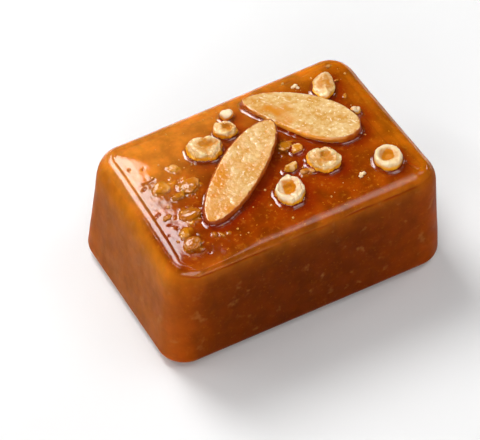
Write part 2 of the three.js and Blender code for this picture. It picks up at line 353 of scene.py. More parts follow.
def curve_through(points, count):
    """Points at even distances on a smooth curve through the given ones."""
    p = np.array(points, float)
    p = np.vstack([2 * p[0] - p[1], p, 2 * p[-1] - p[-2]])
    t = np.linspace(0, 1, CURVE_STEPS, endpoint=False)[:, None]
    dense = []
    for a, b, c, d in zip(p, p[1:], p[2:], p[3:]):
        bend = (2 * a - 5 * b + 4 * c - d) * t**2 + (3 * b - a - 3 * c + d) * t**3
        dense.append(b + ((c - a) * t + bend) / 2)
    dense = np.vstack(dense + [p[-2:-1]])
    run = np.concatenate([[0], np.cumsum(np.linalg.norm(np.diff(dense, axis=0), axis=1))])
    at = np.linspace(0, run[-1], count)
    return np.stack([np.interp(at, run, dense[:, k]) for k in range(2)], 1)


def strips(count, rows, closed=False):
    """Quads between rings of that many points; when closed, the last ring meets the first."""
    k = np.arange(count)
    ahead = (k + 1) % count
    quads = []
    for row in range(rows if closed else rows - 1):
        a = row * count
        b = (row + 1) % rows * count
        quads += np.stack([a + k, a + ahead, b + ahead, b + k], 1).tolist()
    return quads


def make_object(name, verts, faces, materials, attributes=None, face_materials=None):
    mesh = bpy.data.meshes.new(name)
    mesh.from_pydata((np.asarray(verts) * MM).tolist(), [], faces)
    for material in materials:
        mesh.materials.append(material)
    if face_materials is not None:
        mesh.polygons.foreach_set("material_index", np.asarray(face_materials, np.int32))
    mesh.polygons.foreach_set("use_smooth", np.ones(len(mesh.polygons), bool))
    for key, values in (attributes or {}).items():
        values = np.asarray(values, np.float32)
        if values.ndim == 2:
            mesh.attributes.new(key, "FLOAT_VECTOR", "POINT").data.foreach_set("vector", values.ravel())
        else:
            mesh.attributes.new(key, "FLOAT", "POINT").data.foreach_set("value", values)
    obj = bpy.data.objects.new(name, mesh)
    bpy.context.scene.collection.objects.link(obj)
    return obj


# Materials


def new_material(name):
    material = bpy.data.materials.new(name)
    material.use_nodes = True
    tree = material.node_tree
    return material, tree, tree.nodes["Principled BSDF"]


def set_inputs(tree, node, inputs):
    for key, value in inputs.items():
        if isinstance(value, bpy.types.NodeSocket):
            tree.links.new(value, node.inputs[key])
        else:
            node.inputs[key].default_value = value


def add(tree, kind, inputs, **settings):
    node = tree.nodes.new("ShaderNode" + kind)
    for key, value in settings.items():
        setattr(node, key, value)
    set_inputs(tree, node, inputs)
    return node


def grain(tree, size, detail=3.0, roughness=0.55, where=None):
    """Noise from 0 to 1 with features of that size in millimetres."""
    if where is None:
        where = add(tree, "TexCoord", {}).outputs["Object"]
    inputs = {"Vector": where, "Scale": 1 / (size * MM), "Detail": detail, "Roughness": roughness}
    return add(tree, "TexNoise", inputs).outputs["Fac"]


def spread(tree, value, low, high, start=0.0, end=1.0):
    """Value from low to high stretched to start to end, with soft ends."""
    inputs = {"Value": value, "From Min": low, "From Max": high, "To Min": start, "To Max": end}
    return add(tree, "MapRange", inputs, interpolation_type="SMOOTHSTEP").outputs["Result"]


def combine(tree, operation, a, b):
    return add(tree, "Math", {0: a, 1: b}, operation=operation, use_clamp=True).outputs["Value"]


def blend(tree, factor, first, second):
    return add(tree, "Mix", {"Factor": factor, 6: first, 7: second}, data_type="RGBA").outputs[2]


def attribute(tree, name, output="Fac"):
    """Vertex attribute of that name, which is 0 on meshes without it."""
    return add(tree, "Attribute", {}, attribute_name=name).outputs[output]


def layered(tree, colour, layers):
    """Colour with others over it in turn, each where the attribute of that name says."""
    for name, layer in layers.items():
        colour = blend(tree, attribute(tree, name), colour, layer)
    return colour


def bump(tree, height, depth):
    """Normal with that height field, depth in millimetres."""
    inputs = {"Height": height, "Strength": 1.0, "Distance": depth * MM}
    return add(tree, "Bump", inputs).outputs["Normal"]


def scaled(tree, colour, value):
    """Colour made brighter or darker by a factor."""
    return add(tree, "HueSaturation", {"Color": colour, "Value": value}).outputs["Color"]


# Caramel on the vertices, as shares of red, green and blue; the pale top and the left end's wall
# are painted light, and the lips and upright edges painted glow
TOP_DEEP = (0.272, 0.037, 0.0003)
TOP_PAINTED_LIT = (0.62, 0.195, 0.017)
TOP_FAR = (0.66, 0.200, 0.003)
WALL_DEEP = (0.122, 0.0165, 0.0004)
WALL_LEFT_PAINTED_LIT = (0.29, 0.076, 0.0095)
EDGE_PAINTED_GLOW = (0.39, 0.066, 0.0003)
FRONT_LIP_PAINTED_GLOW = (0.56, 0.160, 0.0100)
LEFT_LIP_PAINTED_GLOW = (1.0, 0.310, 0.0015)
# Walls begin this far in from the base in x and y; colours fade over these distances from the far edges,
# the painted glow of the lips, the painted light of the left end and the painted glow of the upright
# edges, and over this much more from the painted glow of the lip at the left end
WALL_START = (1, 0.3)
FAR_FADE = 4.5
LIP_FADE = 1.4
LEFT_FADE = 1.5
GLOW_FADE = 3.0
LEFT_LIP_FADE = 0.8
# The top's colour gives way to the wall's between these depths under the rim
TOP_TO_WALL = (0.2, 1.2)
# Colours of the materials
CARAMEL_FLECK = [0.70, 0.25, 0.015, 1]
CARAMEL_BIT = [0.44, 0.18, 0.045, 1]
# Dark glaze by the toppings, with painted shadow there and painted shade in creases and pits
CARAMEL_POOL_AND_SHADE = [0.25, 0.006, 0.0003, 1]
SUNK_NUT = [0.68, 0.26, 0.007, 1]
SUNK_CREAM = [0.84, 0.52, 0.20, 1]
ALMOND_DARK = [0.61, 0.29, 0.045, 1]
ALMOND_LIGHT = [0.80, 0.57, 0.27, 1]
ALMOND_TOAST = [0.66, 0.23, 0.010, 1]
# Amber sides, made brighter as painted glow
ALMOND_SKIN_AND_PAINTED_GLOW = [0.95, 0.40, 0.030, 1]
ALMOND_BROWN = [0.64, 0.16, 0.005, 1]
# Dark rind at the edge, also painted shade down the sides
ALMOND_RIND_AND_SHADE = [0.34, 0.05, 0.003, 1]
NUT_DARK = [0.62, 0.27, 0.025, 1]
NUT_LIGHT = [0.82, 0.58, 0.28, 1]
CRUMB_LIGHT = [0.95, 0.72, 0.44, 1]
# Amber glaze on the sides, made brighter as painted glow
NUT_SIDE_AND_PAINTED_GLOW = [1.0, 0.42, 0.006, 1]
NUT_BASE = [0.72, 0.19, 0.005, 1]
NUT_HOLLOW = [0.56, 0.185, 0.002, 1]
NUT_GLAZED = [0.66, 0.27, 0.012, 1]
# Painted glints on the toppings, also the pale cream of pale nut pieces
PALE_CREAM_AND_PAINTED_GLINT = [0.97, 0.82, 0.60, 1]
FLOOR_DARK = [0.86, 0.86, 0.86, 1]
FLOOR_LIGHT = [0.9, 0.9, 0.9, 1]
# How deep light goes, in millimetres, and the shares of that depth for red, green and blue
CARAMEL_SCATTER = (1.0, 0.35, 0.08)
BODY_DEPTH = 2.6
GLAZE_DEPTH = 1.6
NUT_SCATTER = (1.0, 0.5, 0.2)
NUT_DEPTH = 0.6
# Least and most roughness, and how much clear coat the toppings have
BODY_ROUGHNESS = (0.36, 0.5)
GLAZE_ROUGHNESS = (0.06, 0.1)
TOPPING_ROUGHNESS = (0.35, 0.6)
TOPPING_COAT = 0.8
# Most noise lies between these values
NOISE = (0.3, 0.7)


def caramel_colour(tree, mottling, fleck_share):
    mottle = spread(tree, grain(tree, 3.0), *NOISE, 1 - mottling, 1 + mottling)
    colour = scaled(tree, attribute(tree, "tint_and_painted_light", "Color"), mottle)
    flecks = spread(tree, grain(tree, 0.8, 3.0, 0.65), 0.54, 0.72, 0.0, fleck_share)
    dots = spread(tree, grain(tree, 0.45, 1.0), 0.68, 0.76, 0.0, 2 * fleck_share)
    return blend(tree, combine(tree, "MAXIMUM", flecks, dots), colour, CARAMEL_FLECK)


def body_material():
    material, tree, shader = new_material("caramel body")
    where = add(tree, "TexCoord", {}).outputs["Object"]
    stretched = add(tree, "VectorMath", {0: where, 1: (1, 1, 0.45)}, operation="MULTIPLY")
    upright = stretched.outputs["Vector"]
    streaks = spread(tree, grain(tree, 1.5, 2.0, 0.5, upright), *NOISE, 0.94, 1.06)
    colour = scaled(tree, caramel_colour(tree, mottling=0.14, fleck_share=0.05), streaks)
    bits = spread(tree, grain(tree, 1.9, 2.0, 0.5), 0.6, 0.78, 0.0, 0.35)
    colour = blend(tree, bits, colour, CARAMEL_BIT)
    # Painted shade in the crease under the front lip
    colour = layered(tree, colour, {"pool_and_shade": CARAMEL_POOL_AND_SHADE})
    set_inputs(tree, shader, {
        "Base Color": colour,
        "Roughness": spread(tree, grain(tree, 1.8), *NOISE, *BODY_ROUGHNESS),
        "Normal": bump(tree, grain(tree, 1.1, 4.0), 0.03),
        "Specular IOR Level": 0.02,
        "Subsurface Weight": 1.0,
        "Subsurface Radius": CARAMEL_SCATTER,
        "Subsurface Scale": BODY_DEPTH * MM,
    })
    return material


def glaze_material(name, scattering, specular):
    material, tree, shader = new_material(name)
    # Dark glaze with painted shadow by the toppings, painted shade in pits
    layers = {"sunk": SUNK_NUT, "cream": SUNK_CREAM, "pool_and_shade": CARAMEL_POOL_AND_SHADE}
    colour = layered(tree, caramel_colour(tree, mottling=0.26, fleck_share=0.3), layers)
    set_inputs(tree, shader, {
        "Base Color": colour,
        "Roughness": spread(tree, grain(tree, 1.6), *NOISE, *GLAZE_ROUGHNESS),
        "Normal": bump(tree, grain(tree, 0.8, 3.0), 0.012),
        "Specular IOR Level": specular,
        "Subsurface Weight": scattering,
        "Subsurface Radius": CARAMEL_SCATTER,
        "Subsurface Scale": GLAZE_DEPTH * MM,
    })
    return material


def topping_finish(tree, shader, colour, coat, scattering, coat_depth):
    set_inputs(tree, shader, {
        "Base Color": colour,
        "Roughness": spread(tree, grain(tree, 0.5), *NOISE, *TOPPING_ROUGHNESS),
        "Normal": bump(tree, grain(tree, 0.5, 3.0, 0.5), 0.05),
        "Specular IOR Level": 0.1,
        "Subsurface Weight": scattering,
        "Subsurface Radius": NUT_SCATTER,
        "Subsurface Scale": NUT_DEPTH * MM,
        "Coat Weight": coat,
        "Coat Roughness": 0.08,
        "Coat Normal": bump(tree, grain(tree, 0.5, 2.0, 0.5), coat_depth),
    })


def topping_colour(tree, dark, light):
    """Colour of nut flesh: dark in the dips and light on the ridges, with fine grain."""
    fine = spread(tree, grain(tree, 0.5, 2.0, 0.5), *NOISE, -0.15, 0.15)
    return blend(tree, combine(tree, "ADD", attribute(tree, "tone"), fine), dark, light)


def almond_material():
    material, tree, shader = new_material("almond")
    colour = topping_colour(tree, ALMOND_DARK, ALMOND_LIGHT)
    along = attribute(tree, "streak", "Vector")
    # Streaks and specks of painted glint on the almond flesh
    streaks = spread(tree, grain(tree, 0.55, 1.0, 0.5, along), 0.6, 0.7, 0.0, 0.7)
    streaks = combine(tree, "MULTIPLY", streaks, spread(tree, grain(tree, 2.5), 0.4, 0.6))
    painted_specks = spread(tree, grain(tree, 0.4, 1.0), 0.64, 0.72, 0.0, 0.8)
    colour = blend(tree, combine(tree, "MAXIMUM", streaks, painted_specks), colour, PALE_CREAM_AND_PAINTED_GLINT)
    # Sides amber with painted glow, browner lower down
    skin = layered(tree, ALMOND_SKIN_AND_PAINTED_GLOW, {"brown": ALMOND_BROWN})
    colour = layered(tree, colour, {"toast": ALMOND_TOAST, "skin": skin, "rind_and_shade": ALMOND_RIND_AND_SHADE})
    topping_finish(tree, shader, colour, TOPPING_COAT, scattering=0.25, coat_depth=0.05)
    return material


def nut_material(name, light, scattering):
    material, tree, shader = new_material(name)
    colour = topping_colour(tree, NUT_DARK, light)
    # Painted glints, with the paleness of pale pieces
    painted_glints = spread(tree, grain(tree, 0.5, 1.0), 0.64, 0.72, 0.0, 0.7)
    colour = blend(tree, combine(tree, "MAXIMUM", painted_glints, attribute(tree, "pale")), colour, PALE_CREAM_AND_PAINTED_GLINT)
    # The side colour carries painted glow with its amber
    layers = {"side": NUT_SIDE_AND_PAINTED_GLOW, "base": NUT_BASE, "hollow": NUT_HOLLOW, "glazed": NUT_GLAZED}
    colour = layered(tree, colour, layers)
    coat = spread(tree, attribute(tree, "hollow"), 0.0, 0.6, TOPPING_COAT, 0.0)
    topping_finish(tree, shader, colour, coat, scattering, coat_depth=0.035)
    return material


BODY = body_material()
GLAZE = glaze_material("caramel glaze", scattering=0.6, specular=0.4)
WET_GLAZE = glaze_material("wet caramel glaze", scattering=0.6, specular=0.7)
GLAZED_BIT = glaze_material("glazed nut bit", scattering=0.0, specular=0.4)
ALMOND = almond_material()
NUT = nut_material("chopped nut", NUT_LIGHT, scattering=0.3)
CRUMB = nut_material("nut crumb", CRUMB_LIGHT, scattering=0.0)


def mix(first, second, share):
    """Colours between two others, one row for each share."""
    share = np.clip(share, 0, 1)[:, None]
    return np.asarray(first) * (1 - share) + np.asarray(second) * share


def caramel_tint_and_painted_light(verts):
    """Colour of the caramel: painted light palest at the back left, deep in front, painted glow at lips
    and upright edges.
    """
    x, y, z = verts.T
    to_end, to_side = np.clip(HALF_SIZE - WALL_START - np.abs(verts[:, :2]), 0, None).T
    to_top = np.clip(RIM_HEIGHT - z, 0, None)
    # Painted light: the top paler towards the back left
    painted_light_sweep = smoothstep(0.1, 0.85, 1.7 * y / WIDTH - 1.2 * x / LENGTH)
    far = np.exp(-np.clip(np.minimum(WIDTH / 2 - y, LENGTH / 2 - x), 0, None) / FAR_FADE)
    top = mix(mix(TOP_DEEP, TOP_FAR, far), TOP_PAINTED_LIT, painted_light_sweep)
    # Painted glow on the top along the front lip
    top = mix(top, FRONT_LIP_PAINTED_GLOW, 0.5 * np.exp(-((to_side / LIP_FADE) ** 2)) * (y < 0))
    # Painted light on the left end's wall, painted glow at the upright edges
    left = np.exp(-to_end / LEFT_FADE) * (x < 0)
    deep = np.outer(1 + 0.35 * smoothstep(0, 18, x), WALL_DEEP)
    wall = mix(mix(deep, WALL_LEFT_PAINTED_LIT, left), EDGE_PAINTED_GLOW, np.exp(-(to_end + to_side) / GLOW_FADE))
    lip_fade = LIP_FADE + LEFT_LIP_FADE * left
    # Painted glow on the lips under the rim, widest at the left end
    wall = mix(wall, mix(FRONT_LIP_PAINTED_GLOW, LEFT_LIP_PAINTED_GLOW, left), 0.9 * np.exp(-to_top / lip_fade))
    return mix(top, wall, smoothstep(*TOP_TO_WALL, to_top))


# Almond slices and nut pieces: the CAD forms with a finer, rougher surface


def fine_form(node, voxel, smoothing):
    """Vertices, normals and faces of a CAD node remeshed finely, in millimetres."""
    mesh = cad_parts[node].data.copy()
    mesh.transform(Matrix.Scale(1 / MM, 4))
    obj = bpy.data.objects.new("form", mesh)
    bpy.context.scene.collection.objects.link(obj)
    remesh = obj.modifiers.new("remesh", "REMESH")
    remesh.mode = "VOXEL"
    remesh.voxel_size = voxel
    smooth = obj.modifiers.new("smooth", "SMOOTH")
    smooth.factor = 0.5
    smooth.iterations = smoothing
    fine = bpy.data.meshes.new_from_object(obj.evaluated_get(bpy.context.evaluated_depsgraph_get()))
    verts = np.array([v.co for v in fine.vertices])
    normals = np.array([v.normal for v in fine.vertices])
    faces = [tuple(p.vertices) for p in fine.polygons]
    bpy.data.objects.remove(obj)
    bpy.data.meshes.remove(mesh)
    bpy.data.meshes.remove(fine)
    return verts, normals, faces


def own_axes(verts):
    """Rows are the long, middle and short directions of a form, the short one pointing up."""
    axes = np.linalg.svd(verts - verts.mean(0), full_matrices=False)[2]
    axes[2] *= np.sign(axes[2, 2])
    return axes


def make_slice(node, seed, toasting, browning, burning):
    verts, normals, faces = fine_form(node, SLICE_VOXEL, SLICE_SMOOTHING)
    axes = own_axes(verts)
    axes[0] *= np.sign(axes[0, 2])
    facing = normals @ axes[2]
    local = (verts - verts.mean(0)) @ axes.T
    half = np.abs(local).max(0)
    streak = local * STREAK_SCALE
    coarse = fractal(streak, 1.6, 2, seed)
    fine = fractal(verts, 0.55, 3, seed + 1)
    side = smoothstep(*SLICE_SIDES, facing)
    along = local[:, 0] / half[0] + 0.12 * fractal(verts, 1.2, 2, seed + 3)
    ends = smoothstep(*SLICE_ENDS, np.abs(along))
    raised = smoothstep(*SLICE_RAISED, along)
    edge = kdtree.KDTree(len(verts))
    for i in np.flatnonzero(facing < SLICE_EDGE):
        edge.insert(verts[i], i)
    edge.balance()
    inset = np.array([edge.find(v)[2] for v in verts])
    border = smoothstep(*SLICE_BORDER, inset + 0.35 * fractal(verts, 0.9, 2, seed + 5))
    # Painted glint along the rim of the top: lighter and less toasted there
    painted_rim_glint = smoothstep(*SLICE_PAINTED_GLINTS, inset) * (1 - side)
    painted_rim_glint *= smoothstep(-0.1, 0.3, fractal(verts, 0.9, 2, seed + 6))
    patches = smoothstep(-0.1, 0.5, fractal(verts, 3.0, 2, seed + 4))
    leftward = (verts[:, 0].mean() - verts[:, 0]) / np.ptp(verts[:, 0]) * 2
    tip = smoothstep(-0.1, 0.8, leftward) * (0.6 + 0.8 * patches)
    outline = smoothstep(*SLICE_OUTLINE, inset + 0.1 * fine) * (0.1 + 0.75 * browning + 0.6 * ends)
    toast = toasting + 0.35 * patches + border * (0.25 + 0.5 * ends) + tip + burning * raised
    on_sides = SLICE_SIDE * side * fractal(verts, 0.8, 2, seed + 2)
    rough = SLICE_COARSE * coarse + SLICE_FINE * fine + on_sides
    verts = verts + normals * rough[:, None]
    attributes = {
        "skin": side,
        "brown": browning + 0.7 * ends + (0.3 + 0.7 * browning) * smoothstep(0.5, 0.0, facing),
        "toast": toast * (1 - 0.7 * painted_rim_glint),
        # Dark line at the edge of the top, and painted shade down the sides, most on the front slice
        "rind_and_shade": np.maximum(outline, (0.05 + 0.85 * browning) * smoothstep(0.8, 0.4, facing)),
        "tone": 0.5 + 0.5 * coarse + 0.5 * fine + 0.4 * painted_rim_glint,
        "streak": streak * MM,
    }
    obj = make_object(node + "_fine", verts, faces, [ALMOND], attributes)
    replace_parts(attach(obj, "root"), node)
    return verts, faces


def chopped(verts, cuts, most, seed):
    """Form with flat cuts in random directions."""
    rng = np.random.default_rng(seed)
    centre = verts.mean(0)
    for way in rng.normal(size=(cuts, 3)):
        way /= np.linalg.norm(way)
        reach = (verts - centre) @ way
        limit = reach.max() * (1 - most * rng.uniform(0.3, 1))
        verts = verts - np.clip(reach - limit, 0, None)[:, None] * way
    return verts


def make_nut(node, seed, cut_share, roughness, pale, amber, glazed):
    verts, normals, faces = fine_form(node, NUT_VOXEL, NUT_SMOOTHING)
    axes = own_axes(verts)
    local = (verts - verts.mean(0)) @ axes.T
    out = np.linalg.norm(local[:, :2] / np.abs(local[:, :2]).max(0), axis=1)
    out = out + 0.2 * fractal(verts, 1.2, 2, seed + 4)
    depth = np.percentile(verts[:, 2], 99.5) - verts[:, 2]
    depth = depth + 0.15 * fractal(verts, 0.8, 2, seed + 2)
    low = depth / (verts[:, 2].max() - RIM_HEIGHT - CROWN_RISE)
    side = smoothstep(*NUT_SIDES, normals[:, 2]) * smoothstep(*NUT_SIDES_LOW, low)
    rim = smoothstep(*NUT_RIM, out) * smoothstep(*NUT_RIM_LOW, low)
    hollow = (0.35 + 0.65 * smoothstep(*NUT_HOLLOW_DEEP, depth)) * smoothstep(*NUT_HOLLOW_IN, out)
    hollow = np.clip(1.4 * hollow * (normals[:, 2] > 0), 0, 1)
    coarse = fractal(verts, 1.0, 3, seed)
    fine = fractal(verts, 0.4, 2, seed + 1)
    crease = smoothstep(0.1, 0.0, np.abs(fractal(verts, 1.6, 2, seed + 3)))
    rough = roughness * (NUT_COARSE * coarse + NUT_FINE * fine - NUT_CREASE * crease)
    verts = chopped(verts, NUT_CUTS, cut_share, seed) + normals * rough[:, None]
    material = CRUMB if node in SMALL_NUTS else NUT
    attributes = {
        "side": side,
        "base": smoothstep(*NUT_FOOT, low) * (normals[:, 2] < 0.7),
        "hollow": amber * np.maximum(hollow, 0.3 * roughness * crease),
        "tone": 0.25 + pale + 0.45 * rim + 0.7 * coarse + 0.4 * fine,
        "pale": np.full(len(verts), 0.7 * pale),
    }
    if glazed:
        material = GLAZED_BIT
        attributes = {
            "sunk": np.full(len(verts), 0.9),
            "cream": glazed * smoothstep(-0.2, 0.4, coarse),
            # Painted shade at the foot in the glaze
            "pool_and_shade": 0.6 * attributes["base"],
            "tint_and_painted_light": caramel_tint_and_painted_light(verts),
        }
    obj = make_object(node + "_fine", verts, faces, [material], attributes)
    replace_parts(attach(obj, "root"), node)
    return verts, faces


toppings = [make_slice(node, 10 * k + 1, *look) for k, (node, look) in enumerate(SLICES.items())]
toppings += [make_nut(node, 10 * k + 101, *look) for k, (node, look) in enumerate(NUT_LOOKS.items())]


# Caramel block


def wall_outline(z):
    """Outline of the walls at a height, from the front left to the right, and its outward directions."""
    share = np.clip((z - BASE_EDGE_RADIUS) / (RIM_HEIGHT - BASE_EDGE_RADIUS), 0, 1)
    corners = CORNERS * (HALF_SIZE - LEAN * share)
    points, outward = [], []
    angle = np.linspace(0, math.pi / 2, CORNER_STEPS + 1)[:, None]
    for i in range(4):
        corner, following = corners[i], corners[(i + 1) % 4]
        back = corners[i - 1] - corner
        ahead = following - corner
        back = back / np.linalg.norm(back)
        ahead = ahead / np.linalg.norm(ahead)
        centre = corner + CORNER_RADIUS * (back + ahead)
        turn = -(ahead * np.cos(angle) + back * np.sin(angle))
        arc = centre + CORNER_RADIUS * turn
        end = following - ahead * CORNER_RADIUS
        steps = LONG_STEPS if i % 2 == 0 else SHORT_STEPS
        along = np.linspace(0, 1, steps, endpoint=False)[1:, None]
        points += [arc, arc[-1] + (end - arc[-1]) * along]
        outward += [turn, np.repeat([[ahead[1], -ahead[0]]], steps - 1, 0)]
    outward = np.vstack(outward)
    return np.vstack(points), outward / np.linalg.norm(outward, axis=1)[:, None]


def front_share(outline, outward):
    """How much each point of an outline belongs to the front, from 0 to 1."""
    to_corner = LENGTH / 2 - LEAN[0, 0] - CORNER_RADIUS - np.abs(outline[:, 0])
    return np.clip(-outward[:, 1], 0, 1) ** EDGE_FADE * smoothstep(-EDGE_FADE_RUN, 0, to_corner)


def edge_scale(outline, outward, by_front):
    """How wide the top edge is at each point of an outline, as a share of its profile."""
    x, y = np.abs(outline / HALF_SIZE).T
    across, along = np.abs(outward).T
    run = (y * across + x * along) / (across + along)
    widening = LIP_WIDENING * np.exp(outline[:, 0] / LIP_RUN) - LIP_NARROWING
    return 1 - EDGE_PINCH * run**4 + widening * by_front


def block_rings():
    """Rings of points from the base to the inner end of the top edge, and their outward directions."""
    rings, directions = [], []
    angle = np.linspace(0, math.pi / 2, BASE_RINGS, endpoint=False)
    low = [(BASE_EDGE_RADIUS * (1 - math.sin(a)), BASE_EDGE_RADIUS * (1 - math.cos(a))) for a in angle]
    wall_top = RIM_HEIGHT + EDGE_REST[0][1]
    low += [(0, z) for z in np.linspace(BASE_EDGE_RADIUS, wall_top, WALL_RINGS, endpoint=False)]
    for inset, z in low:
        outline, outward = wall_outline(z)
        rings.append(np.column_stack([outline - outward * inset, np.full(len(outline), z)]))
        directions.append(outward)
    profiles = [curve_through(edge, EDGE_RINGS) for edge in (EDGE_FRONT, EDGE_REST)]
    for at_front, at_rest in zip(*profiles):
        outline, outward = wall_outline(RIM_HEIGHT + at_rest[1])
        by_front = front_share(outline, outward)[:, None]
        edge = at_front * by_front + at_rest * (1 - by_front)
        edge[:, 0] *= edge_scale(outline, outward, by_front[:, 0])
        rings.append(np.column_stack([outline - outward * edge[:, :1], RIM_HEIGHT + edge[:, 1]]))
        directions.append(outward)
    return np.array(rings), np.array(directions)


def top_patch(ring):
    """Grid of points that fills a ring, and the numbers of its front, right, back and left border."""
    nx, ny = LONG_STEPS + CORNER_STEPS, SHORT_STEPS + CORNER_STEPS
    order = (np.arange(len(ring)) + CORNER_STEPS // 2) % len(ring)
    front = order[: nx + 1]
    right = order[nx : nx + ny + 1]
    back = order[nx + ny : 2 * nx + ny + 1][::-1]
    left = np.append(order[2 * nx + ny :], order[0])[::-1]
    u = np.linspace(0, 1, nx + 1)[None, :, None]
    v = np.linspace(0, 1, ny + 1)[:, None, None]
    sides = (1 - v) * ring[front][None] + v * ring[back][None]
    sides = sides + (1 - u) * ring[left][:, None] + u * ring[right][:, None]
    lower = (1 - u) * ring[front[0]] + u * ring[front[-1]]
    upper = (1 - u) * ring[back[0]] + u * ring[back[-1]]
    grid = sides - (1 - v) * lower - v * upper
    return grid, (front, right, back, left)


def border_distances(points, border):
    """Distance of each point to a closed outline, and the number of the nearest stretch of it."""
    ends = np.roll(border, -1, 0)
    along = ends - border
    distances, nearest = [], []
    for part in np.array_split(points, DISTANCE_CHUNKS):
        offset = part[:, None] - border[None]
        share = np.clip((offset * along).sum(2) / (along**2).sum(1), 0, 1)
        gaps = np.linalg.norm(offset - share[:, :, None] * along, axis=2)
        nearest.append(gaps.argmin(1))
        distances.append(gaps.min(1))
    return np.concatenate(distances), np.concatenate(nearest)


def crown_heights(grid, rings):
    """Height of the top at each point of its grid: level in the middle, smooth into the last ring."""
    last, before = rings[-1], rings[-2]
    slope = (last[:, 2] - before[:, 2]) / np.linalg.norm(last[:, :2] - before[:, :2], axis=1)
    drop = RIM_HEIGHT + CROWN_RISE - last[:, 2]
    # Over a run of twice the drop divided by the slope, the slope fades evenly
    run = np.clip(2 * drop / slope, *CROWN_FALL)
    distance, nearest = border_distances(grid.reshape(-1, 2), last[:, :2])
    drop, slope, run = (values[nearest] for values in (drop, slope, run))
    t = np.clip(distance / run, 0, 1)
    fall = drop * (2 * t**3 - 3 * t**2 + 1) - slope * run * (t**3 - 2 * t**2 + t)
    heights = (RIM_HEIGHT + CROWN_RISE - fall).reshape(grid.shape[:2])
    give = 0.5 * smoothstep(0.0, CROWN_GIVE, distance).reshape(grid.shape[:2])[1:-1, 1:-1]
    for _ in range(CROWN_SMOOTHING):
        around = heights[:-2, 1:-1] + heights[2:, 1:-1] + heights[1:-1, :-2] + heights[1:-1, 2:]
        heights[1:-1, 1:-1] += give * (around / 4 - heights[1:-1, 1:-1])
    return heights


def ellipse_distance(points, place, size, turn):
    """Distance from the middle of a turned ellipse, 1 on its edge."""
    c, s = math.cos(math.radians(turn)), math.sin(math.radians(turn))
    dx, dy = points[:, 0] - place[0], points[:, 1] - place[1]
    return np.hypot((c * dx + s * dy) / (size[0] / 2), (c * dy - s * dx) / (size[1] / 2))


def lump_field(points):
    """Height of the lumps under the glaze, and from 0 to 1 how much nut shows through."""
    wobble = 1 + relief(points * [1, 1, 0], LUMP_WOBBLE, 3, 3)
    height = np.zeros(len(points))
    shows = np.zeros(len(points))
    for place, size, rise, turn in LUMPS:
        bulge = np.exp(-((ellipse_distance(points, place, size, turn) * wobble) ** 5))
        height = np.maximum(height, LUMP_COVER * rise * bulge)
        shows = np.maximum(shows, bulge)
    return height, shows


def pit_field(points):
    """How deep the glaze is pitted, from 0 to 1."""
    wobble = 1 + relief(points * [1, 1, 0], PIT_WOBBLE, 2, 11)
    pitted = np.zeros(len(points))
    for place, size, turn in PITS:
        out = ellipse_distance(points, place, size, turn) * wobble
        pitted = np.maximum(pitted, np.exp(-(out**2)))
    return pitted


def pool_and_shadow_share(points):
    """How much dark glaze and painted shadow gather at each point, from 0 to 1, more on the toppings'
    shaded side.
    """
    found = [TOPPING_TREE.find_nearest(Vector(p), POOL_LIMIT)[3] for p in points + SHADOW_SHIFT]
    near = np.array([POOL_LIMIT if d is None else d for d in found])
    return POOL_AND_SHADOW_SHARE * np.exp(-((near / POOL_AND_SHADOW_REACH) ** 2))


